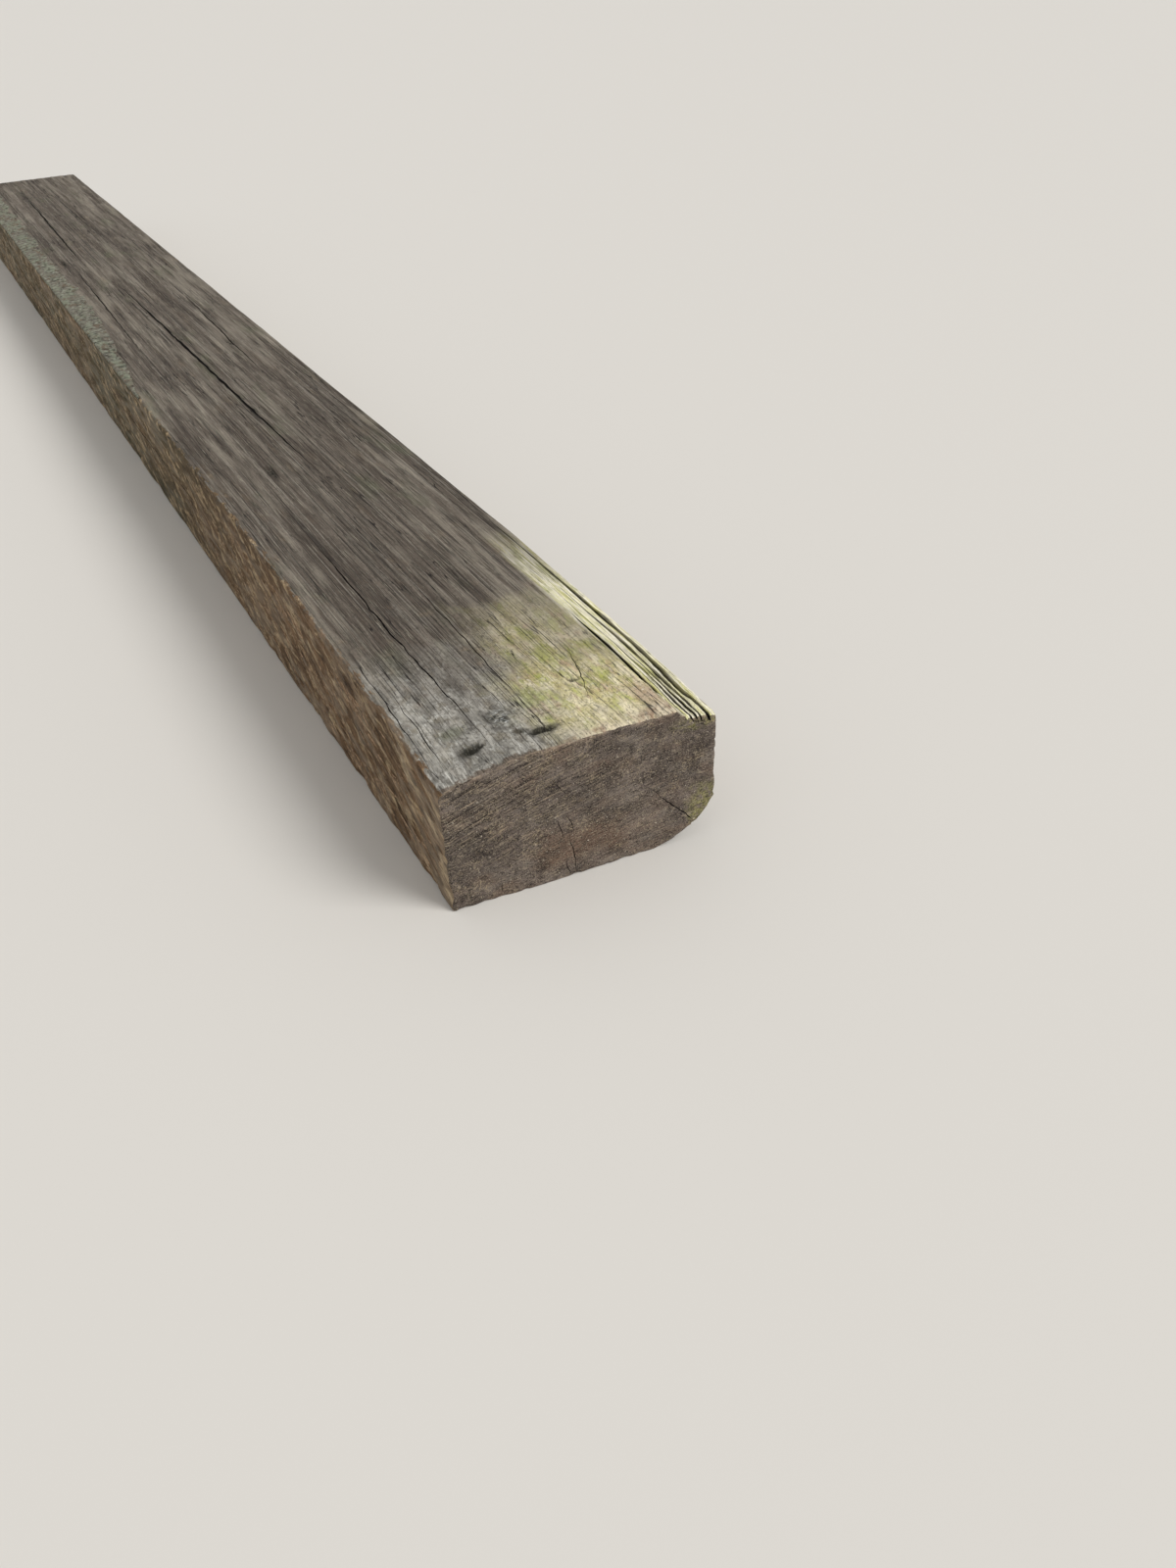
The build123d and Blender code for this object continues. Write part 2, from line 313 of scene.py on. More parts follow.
def carve(inside, across, above):
    """Places the grid's points, in millimetres: the section is squeezed between its worn faces,
    pulled in to the log's skin at the wane, and the ends are set back along the timber. Also gives
    the shares that the finish reads: top, wane, strip, pitting, sunk grain and worn end arris."""
    seen_end = LONG / 2 - SEEN_SKEW * (1 - across / WIDE)
    far_end = -LONG / 2 + FAR_SKEW * across / WIDE
    x = seen_end - inside * (seen_end - far_end) / LONG
    behind = LONG / 2 - x
    near_end = np.minimum(inside, LONG - inside)
    soft = 1 + 0.5 * noise(behind / 30, across / 30, 22)
    at_end = rounded(near_end, END_WEAR * soft)
    top_skin, pits = top_relief(behind, across), pitting(behind, across)
    top = TALL - top_form(behind, across) - top_skin - pits - at_end
    top = top - rounded(across, LEFT_WEAR[0] * soft) - rounded(WIDE - across, RIGHT_WEAR[0] * soft)
    bed = bed_relief(behind, across) + 0.3 * at_end + rounded(across, BED_WEAR)
    left_skin, right_skin = left_relief(behind, above), right_relief(behind, above)
    chip = 1.6 * hill(((above - 22) / 14) ** 2) * hill((inside / 60) ** 2)
    left_skin = left_skin * (1 - 0.6 * hill((inside / 70) ** 2))
    left = left_skin + 0.4 * at_end + rounded(TALL - above, LEFT_WEAR[1] * soft)
    left = left + rounded(above, BED_WEAR) + chip
    right = right_skin + 0.6 * at_end + rounded(TALL - above, RIGHT_WEAR[1] * soft)
    y = left + (across + drift(behind, across)) / WIDE * (WIDE - right - left)
    z = bed + above / TALL * (top - bed)
    # at the wane, points are drawn towards the timber's middle until they meet the log's skin
    far, box, skin, seen = wane_reach(behind, across, above)
    bark = 0.7 + 0.6 * noise(behind / 90, np.arctan2(MIDST[1] - above, across - MIDST[0]) * 26, 23)
    skin = skin - (bark + 0.4 * at_end) * seen
    core = 0.55 * skin
    share = np.clip((far - core) / np.maximum(box - core, 1e-6), 0, None)
    pulled = np.where((far > core) & (seen > 0) & (skin < box), core + share * (skin - core), far)
    y = y + (across - MIDST[0]) / far * (pulled - far)
    z = z + (above - MIDST[1]) / far * (pulled - far)
    # the sawn ends: rough, worn round at their edges, bitten at the corners, slivers broken short
    local_top = TALL - top_form(behind, across) - top_skin
    edge = np.minimum(np.minimum(y, WIDE - y), np.minimum(local_top - z, z + 1))
    edge = np.where(seen > 0, np.minimum(edge, skin - pulled + 2 * seen), edge)
    set_back = end_relief(y, z) + rounded(np.maximum(edge, 0), END_WEAR * soft)
    chipped = np.clip(noise(across / 7, above / 7, 24) - 0.35, 0, 1)
    bitten = chipped * ramp(edge, 8, 0) * 4 * (seen == 0)
    sliver = np.searchsorted([middle for middle, _ in split_middles()], across)
    worn_arris = ramp(local_top - z, 5, 0)
    broken = ramp(across, 246, 254) * worn_arris
    set_back = set_back + bitten + broken * (2.6 + 3.4 * noise(sliver * 3.7, above * 0, 25))
    pull = ramp(inside, END_DEEP, 0) - ramp(LONG - inside, END_DEEP, 0)
    # what each point belongs to, and how deep it lies in its face's own grain
    top_share = np.clip((5.5 + 2.5 * noise(behind / 12, across / 12, 40) - (top - z)) / 4, 0, 1)
    wane_share = seen * ramp(skin - pulled, 8, 2)
    side_sunk = np.where(across < WIDE / 2, (left_skin - 0.6) / 3.2, (right_skin - 0.5) / 2)
    side_sunk = np.where(above < 0.5, bed_relief(behind, across) / 1.2, side_sunk)
    top_sunk = (top_skin - 0.5) / 1.4
    strip_share = top_share * ramp(across, 249, 255) * ramp(behind, 480, 280)
    sunk = side_sunk * (1 - top_share) + top_sunk * (top_share - strip_share) + EVEN_SUNK * strip_share
    shares = {
        "top_share": top_share,
        "wane_share": wane_share,
        "strip_share": strip_share,
        "pitted": top_share * ramp(pits, 0, 2),
        "sunk": np.clip(sunk * (1 - wane_share) + 0.3 * wane_share, 0, 1),
        "worn_arris": worn_arris,
    }
    return np.stack([x - np.maximum(set_back, 0.1) * pull, y - WIDE / 2, z], -1), shares


def build(name, points, faces):
    """An object and its mesh, from points in millimetres and the faces that join them."""
    mesh = bpy.data.meshes.new(name)
    mesh.from_pydata(np.asarray(points) / 1000, [], faces)
    made = bpy.data.objects.new(name, mesh)
    bpy.context.scene.collection.objects.link(made)
    return made, mesh


def mark(mesh, name, values):
    """Stores one number for each point of a mesh, which its finish reads."""
    rows = mesh.attributes.new(name, "FLOAT", "POINT").data
    rows.foreach_set("value", values.astype(np.float32))


steps, quads, counts = closed_grid(len(inward) - 1, len(columns) - 1, len(courses) - 1)
points, shares = carve(inward[steps[:, 0]], columns[steps[:, 1]], courses[steps[:, 2]])
timber, timber_mesh = build("weathered_timber", points, quads)
is_end = np.arange(len(quads)) < counts[0] + counts[1]
timber_mesh.polygons.foreach_set("material_index", np.where(is_end, 0, 1).astype(np.int32))
for name, values in shares.items():
    mark(timber_mesh, name, values)

# The drying checks. The shell of a baulk shrinks more than its heart, so it splits along the
# rays, and each split wanders a little as it crosses the grain.
UP = (0, 0, 1)
# Checks shorter than this wander in smaller steps; cutters start this far outside the face
SHORT_CHECK = 150.0
CLEAR_OF_FACE = 7.0


def cleft(route, outward, mouth, deep, open_start, seed):
    """A closed wedge to cut a check with: four corners at each step of a wandering route, two
    above the face and two at the root, nearer together and less deep towards the route's ends.
    With an open start it is wide from its first step on, as a check is that begins at an arris."""
    route = np.array(route, float)
    legs = np.concatenate([[0], np.cumsum(np.linalg.norm(np.diff(route, axis=0), axis=1))])
    # a step about every 3.5 mm, but at least 7 and at most 70
    count = int(max(7, min(70, legs[-1] / 3.5)))
    place = np.linspace(0, legs[-1], count)
    line = np.stack([np.interp(place, legs, route[:, n]) for n in range(3)], -1)
    if outward == UP:
        line[:, 2] = TALL - top_form(LONG / 2 - line[:, 0], line[:, 1] + WIDE / 2)
    outward = np.array(outward, float) / np.linalg.norm(outward)
    sideways = np.cross(outward, line[-1] - line[0])
    sideways = sideways / np.linalg.norm(sideways)
    turn_every, sway = (5, 0.9) if legs[-1] < SHORT_CHECK else (16, 1.2)
    line = line + sideways * (noise(place / turn_every, place * 0, seed) * sway)[:, None]
    share = place / legs[-1]
    opening = np.minimum(share / 0.08, 1 - share**2) if open_start else np.sin(np.pi * share) ** 0.7
    wide = np.maximum(mouth * opening * (1 + 0.35 * noise(place / 7, place * 0, seed + 50)), 0.25) / 2
    fall = deep * np.maximum(opening, 0.08 if open_start else 0.25)
    above = fall * 0 + CLEAR_OF_FACE
    corners = [
        line + sideways * (wide * side)[:, None] + outward * out[:, None]
        for side, out in ((-1.15, above), (1.15, above), (0.15, -fall), (-0.15, -fall))
    ]
    return np.stack(corners, 1)


def on_end(spots):
    """Spots on the seen end as (in from the left, above the bed), put on its skewed plane. Also
    the way that the face looks, like the three after this."""
    line = [(LONG / 2 - SEEN_SKEW * (1 - s / WIDE), s - WIDE / 2, z) for s, z in spots]
    return line, (WIDE, -SEEN_SKEW, 0)


def on_far(spots):
    """Spots on the far end, placed in the same way."""
    line = [(-LONG / 2 + FAR_SKEW * s / WIDE, s - WIDE / 2, z) for s, z in spots]
    return line, (-WIDE, FAR_SKEW, 0)


def on_top(spots):
    """Spots on the top as (behind the seen end, in from the left)."""
    return [(LONG / 2 - b, s - WIDE / 2, TALL) for b, s in spots], UP


def on_left(spots):
    """Spots on the left side as (behind the seen end, above the bed)."""
    return [(LONG / 2 - b, -WIDE / 2, z) for b, z in spots], (0, -1, 0)


# Each check: the face that it is in, its mouth, its depth, whether it starts open at an arris,
# and its route
CHECKS = (
    (on_end, 1.15, 60, True, (264, 26), (254, 37.8), (234.4, 57.6), (217, 79.4), (205.7, 91.5)),
    (on_end, 0.8, 18, False, (110.5, 128.9), (117.4, 117.3), (124.9, 105.2), (129.2, 96.9)),
    (on_end, 1.1, 22, False, (113.9, 78.5), (116.8, 66.2), (120.2, 52.7)),
    (on_end, 1.3, 22, False, (125.3, 79.4), (129.5, 67.3), (131.3, 56.0)),
    (on_end, 1.2, 26, False, (126.4, 54.1), (128.6, 38.8), (130.9, 23.2), (131.9, 4.8)),
    (on_end, 1.0, 14, False, (121.9, 26.6), (123.2, 14.0), (125.5, 2.0)),
    (on_end, 0.9, 10, False, (52.5, 19), (51.8, 9), (51.5, 1.5)),
    (on_far, 3.0, 50, False, (140, 132), (160, 104), (186, 78), (214, 52)),
    (on_far, 2.2, 35, False, (112, 126), (98, 96), (91, 70)),
    (on_far, 1.8, 20, False, (150, 60), (157, 36), (160, 14)),
    (on_top, 2.0, 28, False, (30, 68.2), (111, 68.7), (330, 66), (640, 70)),
    (on_top, 1.5, 16, False, (54, 123.5), (68, 123.5), (98, 125.2), (111, 126.1), (430, 132)),
    (on_top, 1.3, 20, False, (36, 8), (56, 7.8), (73, 9), (290, 13)),
    (on_top, 1.2, 14, False, (42, 19), (75, 20.3), (210, 22)),
    (on_top, 1.6, 10, False, (64, 184), (85, 188.9), (106.5, 196.5), (172, 214)),
    (on_top, 4.4, 40, False, (760, 150), (2050, 128)),
    (on_top, 2.8, 18, False, (1260, 214), (1840, 224)),
    (on_top, 2.6, 20, False, (1500, 62), (2240, 74)),
    (on_top, 3.8, 32, False, (2280, 98), (3320, 112)),
    (on_top, 2.6, 16, False, (2560, 188), (3150, 180)),
    (on_left, 2.4, 20, False, (900, 92), (1620, 84)),
    (on_left, 2.8, 24, False, (2050, 70), (2780, 78)),
)

cut_points, cut_quads, start = [], [], 0
for number, (on_face, mouth, deep, open_start, *spots) in enumerate(CHECKS):
    wedge = cleft(*on_face(spots), mouth, deep, open_start, 100 + number)
    at = start + np.arange(wedge.shape[0] * 4).reshape(-1, 4)
    turned = np.roll(at, -1, axis=1)
    sides = np.stack([at[:-1], at[1:], turned[1:], turned[:-1]], -1).reshape(-1, 4)
    cut_points.append(wedge.reshape(-1, 3))
    cut_quads += [sides, at[:1], at[-1:, ::-1]]
    start += wedge.shape[0] * 4
wedges, wedge_mesh = build("wedges", np.concatenate(cut_points), np.concatenate(cut_quads))
splitting = timber.modifiers.new("checks", "BOOLEAN")
splitting.operation = "DIFFERENCE"
splitting.solver = "MANIFOLD"
splitting.material_mode = "TRANSFER"
splitting.object = wedges


def add(tree, kind, wires=(), **settings):
    """Adds one node: settings are its own properties, wires gives its inputs a value or a socket."""
    node = tree.nodes.new("ShaderNode" + kind)
    for name, value in settings.items():
        setattr(node, name, value)
    for name, value in dict(wires).items():
        if isinstance(value, bpy.types.NodeSocket):
            tree.links.new(value, node.inputs[name])
        else:
            node.inputs[name].default_value = value
    return node


def paint(code):
    """An sRGB hex colour as the linear values that a shader takes."""
    parts = np.array([int(code[n : n + 2], 16) / 255 for n in (1, 3, 5)])
    return (*np.where(parts <= 0.04045, parts / 12.92, ((parts + 0.055) / 1.055) ** 2.4), 1.0)


def cloud(tree, place, size, detail=3.0, roughness=0.6):
    """Smooth noise around a half, with cells of a size in millimetres."""
    cell = [length / 1000 for length in size]
    spread = add(tree, "Mapping", {"Vector": place, "Scale": cell}, vector_type="TEXTURE").outputs[0]
    wires = {"Vector": spread, "Scale": 1.0, "Detail": detail, "Roughness": roughness}
    return add(tree, "TexNoise", wires).outputs[0]


def patches(tree, place, size, low, high, most=1.0, least=0.0, detail=3.0):
    """A share from least to most where a cloud climbs from low to high. Most may be another share,
    and then this one holds only where that one does."""
    level = cloud(tree, place, size, detail)
    return add(tree, "MapRange", {0: level, 1: low, 2: high, 3: least, 4: most}).outputs[0]


def round_spot(tree, place, middle, reach, most=1.0):
    """A share that fills an ellipsoid and fades out over an edge that wanders. Its middle and its
    reach, where the share has faded, are in millimetres."""
    wires = {"Vector": place, "Location": [at / 1000 for at in middle]}
    wires["Scale"] = [length / 1000 for length in reach]
    inside = add(tree, "Mapping", wires, vector_type="TEXTURE").outputs[0]
    far = add(tree, "VectorMath", {0: inside}, operation="LENGTH").outputs["Value"]
    wires = {"Vector": inside, "Scale": 2.6, "Detail": 5.0, "Roughness": 0.65}
    wander = add(tree, "TexNoise", wires).outputs[0]
    edge = add(tree, "Math", {0: wander, 1: 1.3, 2: far}, operation="MULTIPLY_ADD").outputs[0]
    return add(tree, "MapRange", {0: edge, 1: 1.85, 2: 1.15, 4: most}).outputs[0]


def coats(tree, colour, layers):
    """Lays colours over a first one, each where its share says and as thick as its strength, which
    may be another share."""
    for code, share, strength in layers:
        share = add(tree, "Math", {0: share, 1: strength}, operation="MULTIPLY").outputs[0]
        colour = add(tree, "Mix", {0: share, 6: colour, 7: paint(code)}, data_type="RGBA").outputs[2]
    return colour


def heights(tree, layers):
    """Adds up depths, in millimetres, of the patterns that stand out or are sunk."""
    level = 0.0
    for share, depth in layers:
        level = add(tree, "Math", {0: share, 1: depth, 2: level}, operation="MULTIPLY_ADD").outputs[0]
    return level


def material(name):
    """A new material: itself, its tree, and the place on the timber."""
    made = bpy.data.materials.new(name)
    made.use_nodes = True
    return made, made.node_tree, add(made.node_tree, "TexCoord").outputs["Object"]


def surface(tree, colour, roughness, level=None, shine=0.5):
    """Gives a material its colour, its roughness, a bump from depths in millimetres, and how much
    light it mirrors."""
    skin = tree.nodes["Principled BSDF"]
    tree.links.new(colour, skin.inputs["Base Color"])
    skin.inputs["Roughness"].default_value = roughness
    skin.inputs["Specular IOR Level"].default_value = shine
    if level is not None:
        relief = add(tree, "Bump", {"Height": level, "Distance": 0.001, "Strength": 1.0}).outputs[0]
        tree.links.new(relief, skin.inputs["Normal"])


# End grain of creosoted oak, cross-cut with a large circular saw and then weathered: a dark
# purplish brown, speckled with open pores and pale torn fibre ends, and streaked along the arcs
# that the saw's teeth left.
end_grain, tree, place = material("saw-cut creosoted oak end grain")
# Blender's nodes take places in metres. The bands of a wave of scale one lie this far apart, and
# the marks of the saw's teeth and the year rings this far; the saw and the rings turn round these.
WAVE = 0.314
TOOTH_MARKS, YEAR_RINGS = 0.0034, 0.0041
SAW_CENTRE, HEART = (0, 0.235, -0.900), (0, -0.020, 0.158)
from_saw = add(tree, "VectorMath", {0: place, 1: SAW_CENTRE}, operation="SUBTRACT").outputs[0]
flat = add(tree, "VectorMath", {0: from_saw, 1: (0, 1, 1)}, operation="MULTIPLY").outputs[0]
reach = add(tree, "VectorMath", {0: flat}, operation="LENGTH").outputs["Value"]
apart = add(tree, "SeparateXYZ", {0: flat}).outputs
turn = add(tree, "Math", {0: apart[1], 1: apart[2]}, operation="ARCTAN2").outputs[0]
on_arc = add(tree, "CombineXYZ", {0: reach, 1: turn, 2: 0.0}).outputs[0]
wires = {"Vector": on_arc, "Scale": WAVE / TOOTH_MARKS, "Distortion": 3.0,
         "Detail": 3.0, "Detail Scale": 0.7}
teeth = add(tree, "TexWave", wires, bands_direction="X").outputs["Fac"]
spot = add(tree, "SeparateXYZ", {0: place}).outputs
upper = add(tree, "MapRange", {0: spot[2], 1: 0.03, 2: 0.09, 3: 0.25, 4: 1.0}).outputs[0]
to_left = add(tree, "MapRange", {0: spot[1], 1: 0.06, 2: -0.09, 3: 0.35, 4: upper}).outputs[0]
sawn_zone = patches(tree, place, (34, 30, 26), 0.42, 0.60, most=to_left, least=0.12)
crests = add(tree, "MapRange", {0: teeth, 1: 0.60, 2: 0.92, 4: sawn_zone}).outputs[0]
troughs = add(tree, "MapRange", {0: teeth, 1: 0.42, 2: 0.08, 4: sawn_zone}).outputs[0]
pale_arcs = patches(tree, on_arc, (3.5, 16, 1), 0.46, 0.62, most=crests)
dark_arcs = patches(tree, on_arc, (6, 30, 1), 0.38, 0.56, most=troughs)
threads = patches(tree, on_arc, (0.9, 5.5, 1), 0.57, 0.68, most=sawn_zone, detail=4.0)
cuts = patches(tree, on_arc, (1.1, 7, 1), 0.45, 0.34, most=sawn_zone, detail=4.0)
flecks = patches(tree, place, (1.2, 1.2, 1.2), 0.56, 0.66)
bright = patches(tree, place, (2.4, 3.4, 2.4), 0.645, 0.72, detail=4.0)
pores = patches(tree, place, (1.1, 1.5, 1.1), 0.44, 0.34, detail=4.0)
rotten = patches(tree, place, (30, 30, 30), 0.42, 0.60)
holes = patches(tree, place, (2.2, 4.4, 1.9), 0.43, 0.34, most=rotten)
frayed = patches(tree, place, (20, 22, 16), 0.50, 0.62)
wires = {"Vector": place, "Rotation": (1.0, 0, 0)}
steep = add(tree, "Mapping", wires, vector_type="TEXTURE").outputs[0]
wires = {"Vector": place, "Rotation": (-0.5, 0, 0)}
falling = add(tree, "Mapping", wires, vector_type="TEXTURE").outputs[0]
from_heart = add(tree, "VectorMath", {0: place, 1: HEART}, operation="SUBTRACT").outputs[0]
wires = {"Vector": from_heart, "Scale": WAVE / YEAR_RINGS, "Distortion": 4.0,
         "Detail": 3.0, "Detail Scale": 0.6}
rings = add(tree, "TexWave", wires, wave_type="RINGS", rings_direction="X").outputs["Fac"]
worn = add(tree, "Attribute", attribute_name="worn_arris").outputs["Fac"]
low_moss = round_spot(tree, place, (1750, 134, 38), (60, 24, 32))
high_moss = round_spot(tree, place, (1750, 124, 146), (60, 28, 9))
colour = coats(tree, paint("#584E48"), (
    ("#82756C", patches(tree, place, (45, 45, 35), 0.35, 0.65), 1.0),
    ("#8F857B", patches(tree, place, (38, 38, 26), 0.49, 0.66), 0.6),
    ("#7E6450", patches(tree, place, (60, 60, 30), 0.50, 0.70), 0.55),
    ("#2D2523", patches(tree, place, (26, 26, 26), 0.52, 0.66), 0.7),
    ("#7F604A", round_spot(tree, place, (1745, 5, 38), (60, 62, 26)), 0.5),
    ("#8F8B55", patches(tree, place, (7, 7, 7), 0.36, 0.54), low_moss),
    ("#827E4B", patches(tree, place, (9, 9, 6), 0.38, 0.56), high_moss),
    ("#463A34", rings, 0.22),
    ("#2A2220", patches(tree, place, (13, 14, 10), 0.55, 0.64, detail=5.0), 0.55),
    ("#A79885", patches(tree, place, (10, 13, 8), 0.59, 0.68, detail=5.0), 0.6),
    ("#2C2320", patches(tree, on_arc, (3.2, 52, 1), 0.51, 0.62, detail=4.0), to_left),
    ("#A8957F", patches(tree, on_arc, (2.4, 34, 1), 0.58, 0.68, detail=4.0), to_left),
    ("#251E1B", dark_arcs, 0.8),
    ("#181311", cuts, 0.95),
    ("#181210", pores, 0.85),
    ("#1A1412", holes, 0.9),
    ("#C4B49C", flecks, 0.85),
    ("#B5A48C", pale_arcs, 0.7),
    ("#D6C6A8", threads, 0.95),
    ("#C9B593", patches(tree, steep, (3, 5, 0.9), 0.58, 0.68, most=frayed), 0.8),
    ("#C0AC8B", patches(tree, falling, (3, 4.5, 0.9), 0.58, 0.68, most=frayed), 0.7),
    ("#DED2BF", bright, 0.9),
    ("#BBA690", patches(tree, place, (16, 16, 9), 0.46, 0.60, most=worn), 0.7)))
level = heights(tree, (
    (crests, 0.4), (threads, 0.6), (cuts, -0.9), (flecks, 0.5), (pores, -0.8), (holes, -0.9)))
surface(tree, colour, 0.88, level, shine=0.3)

# The long faces of the same oak, sawn and then left outside. The top bleached to silver with
# dark grain, and algae coloured its damp half; the sides tore into warm brown fibres that slope
# down towards the seen end; the wane, where the bark fell off, stayed dark and grew moss.
long_grain, tree, place = material("weathered creosoted oak long grain")
is_top, is_wane, is_strip, pitted, sunk = (
    add(tree, "Attribute", attribute_name=name).outputs["Fac"]
    for name in ("top_share", "wane_share", "strip_share", "pitted", "sunk"))
spot = add(tree, "SeparateXYZ", {0: place}).outputs
# the top's left, seen: silver, with a knot, small rotten hollows and bleached fibres at the corner
knot = round_spot(tree, place, (1661, -51, 157), (17, 11, 30))
bleached = round_spot(tree, place, (1722, -128, 150), (34, 24, 30))
wires = {0: spot[1], 1: -SEEN_SKEW / WIDE, 2: spot[0]}
unskewed = add(tree, "Math", wires, operation="MULTIPLY_ADD").outputs[0]
ragged = cloud(tree, place, (10, 10, 10), 5.0, 0.65)
from_front = add(tree, "Math", {0: ragged, 1: 0.030, 2: unskewed}, operation="MULTIPLY_ADD").outputs[0]
torn_front = add(tree, "MapRange", {0: from_front, 1: 1.7452, 2: 1.7482}).outputs[0]
silver = coats(tree, paint("#8D8981"), (
    ("#BFBBB1", patches(tree, place, (36, 14, 20), 0.38, 0.62, detail=5.0), 1.0),
    ("#6A6761", patches(tree, place, (26, 16, 20), 0.46, 0.62, detail=5.0), 0.6),
    ("#877E6C", patches(tree, place, (18, 14, 20), 0.53, 0.66), 0.6),
    ("#D9D7CE", patches(tree, place, (11, 6, 6), 0.56, 0.68, detail=5.0), 0.7),
    ("#DAD7CD", patches(tree, place, (40, 1.7, 5), 0.50, 0.62), bleached),
    ("#454640", patches(tree, place, (9, 8, 9), 0.32, 0.50), knot),
    ("#2E2F2A", patches(tree, place, (2.6, 7, 5), 0.47, 0.39), knot),
    ("#CBCCC8", patches(tree, place, (2.2, 6, 5), 0.55, 0.64), knot),
    ("#62654B", round_spot(tree, place, (1655, -99, 158), (10, 14, 30)), 0.6),
    ("#655446", torn_front, 0.8)))
# its right, seen: cream bleached wood under yellow-green algae, browner along the strip, with a painted
# highlight along its front arris
wires = {"Vector": place, "Scale": 20.0, "Detail": 5.0, "Roughness": 0.6}
wavy = add(tree, "TexNoise", wires).outputs[0]
from_left = add(tree, "Math", {0: wavy, 1: 0.11, 2: spot[1]}, operation="MULTIPLY_ADD").outputs[0]
to_right = add(tree, "MapRange", {0: from_left, 1: 0.010, 2: 0.075, 4: 0.95}).outputs[0]
from_back = add(tree, "Math", {0: wavy, 1: 0.05, 2: spot[0]}, operation="MULTIPLY_ADD").outputs[0]
# a painted highlight: a bright cream band along the front arris of the ledge
painted_front_highlight = add(tree, "MapRange", {0: from_back, 1: 1.725, 2: 1.757, 4: 0.8}).outputs[0]
at_rim = add(tree, "MapRange", {0: from_back, 1: 1.738, 2: 1.760, 4: 0.9}).outputs[0]
cream = coats(tree, paint("#D3C78C"), (
    ("#F6EAC4", patches(tree, place, (28, 14, 20), 0.40, 0.62), 1.0),
    ("#B7BB58", patches(tree, place, (34, 17, 20), 0.48, 0.62), 0.85),
    ("#CFAF94", patches(tree, place, (30, 10, 20), 0.54, 0.68), 0.7),
    ("#C5A78D", round_spot(tree, place, (1712, 92, 163), (44, 14, 20)), 0.8),
    ("#EADBBE", painted_front_highlight, 1.0),
    ("#A98C72", patches(tree, place, (15, 12, 9), 0.50, 0.60), at_rim),
    ("#FBF4DF", patches(tree, place, (7, 3, 5), 0.60, 0.72), 0.8),
    ("#5C5238", patches(tree, place, (5, 2.6, 4), 0.58, 0.68, detail=5.0), 0.75)))
# the rest, where other timbers lay: dark grey brown, in long crisp lines
deep = add(tree, "TexNoise", {**wires, "Scale": 6.0}).outputs[0]
back = add(tree, "Math", {0: deep, 1: 0.30, 2: spot[0]}, operation="MULTIPLY_ADD").outputs[0]
stacked = add(tree, "MapRange", {0: back, 1: 1.80, 2: 1.60}).outputs[0]
plain = coats(tree, paint("#554B42"), (
    ("#766C61", patches(tree, place, (500, 15, 40), 0.38, 0.62), 1.0),
    ("#8F887D", patches(tree, place, (420, 2.4, 14), 0.55, 0.68, detail=2.0), 0.7),
    ("#2E2925", patches(tree, place, (520, 2.8, 14), 0.54, 0.66, detail=2.0), 0.75),
    ("#5D6149", patches(tree, place, (160, 55, 60), 0.58, 0.72), 0.5)))
top = add(tree, "Mix", {0: to_right, 6: silver, 7: cream}, data_type="RGBA").outputs[2]
top = add(tree, "Mix", {0: stacked, 6: top, 7: plain}, data_type="RGBA").outputs[2]
# fine grain, cracks no wider than a hair, and dirt over all of the top
dark_grain = patches(tree, place, (70, 1.5, 4), 0.53, 0.68, detail=4.0)
pale_grain = patches(tree, place, (45, 1.2, 4), 0.57, 0.72)
swell = cloud(tree, place, (200, 8, 20), 2.0, 0.5)
off_half = add(tree, "Math", {0: swell, 1: 0.5}, operation="SUBTRACT").outputs[0]
off_half = add(tree, "Math", {0: off_half}, operation="ABSOLUTE").outputs[0]
cracked = patches(tree, place, (120, 30, 30), 0.48, 0.58)
hairs = add(tree, "MapRange", {0: off_half, 1: 0.016, 2: 0.005, 4: cracked}).outputs[0]
mottle = patches(tree, place, (5, 3.5, 4), 0.54, 0.66, detail=6.0)
dirty = patches(tree, place, (24, 18, 20), 0.42, 0.60, least=0.15)
dirt = patches(tree, place, (1.9, 1.4, 1.5), 0.54, 0.70, most=dirty, detail=5.0)
grainy = add(tree, "MapRange", {0: stacked, 3: 0.26, 4: 0.75}).outputs[0]
top = coats(tree, top, (
    # dark rot in the decayed hollows, deepened with painted shade
    ("#2B2A21", round_spot(tree, place, (1690, -94, 157), (8.5, 13, 30)), 0.9),
    ("#2B2A21", round_spot(tree, place, (1702.5, -23.5, 160), (9.5, 20, 30)), 0.9),
    ("#39382E", round_spot(tree, place, (1692, -45, 160), (6, 9, 30)), 0.8),
    ("#4E493C", mottle, 0.5),
    ("#3C372E", dark_grain, grainy),
    ("#D0C9B2", pale_grain, 0.45),
    ("#33302A", dirt, 0.65),
    ("#1D1916", hairs, 0.9)))
# the slivers of the broken strip: fresh pale wood with algae between the fibres
slivers = coats(tree, paint("#DDD898"), (
    ("#FFF8E0", patches(tree, place, (60, 3.2, 20), 0.38, 0.56), 1.0),
    ("#A5A962", patches(tree, place, (40, 7, 14), 0.54, 0.68), 0.6),
    ("#4A4230", patches(tree, place, (50, 0.9, 3), 0.57, 0.67), 0.8)))
top = add(tree, "Mix", {0: is_strip, 6: top, 7: slivers}, data_type="RGBA").outputs[2]
top_height = heights(tree, (
    (dark_grain, -0.6), (pale_grain, 0.3), (hairs, -1.1), (mottle, -0.5), (dirt, -0.4)))
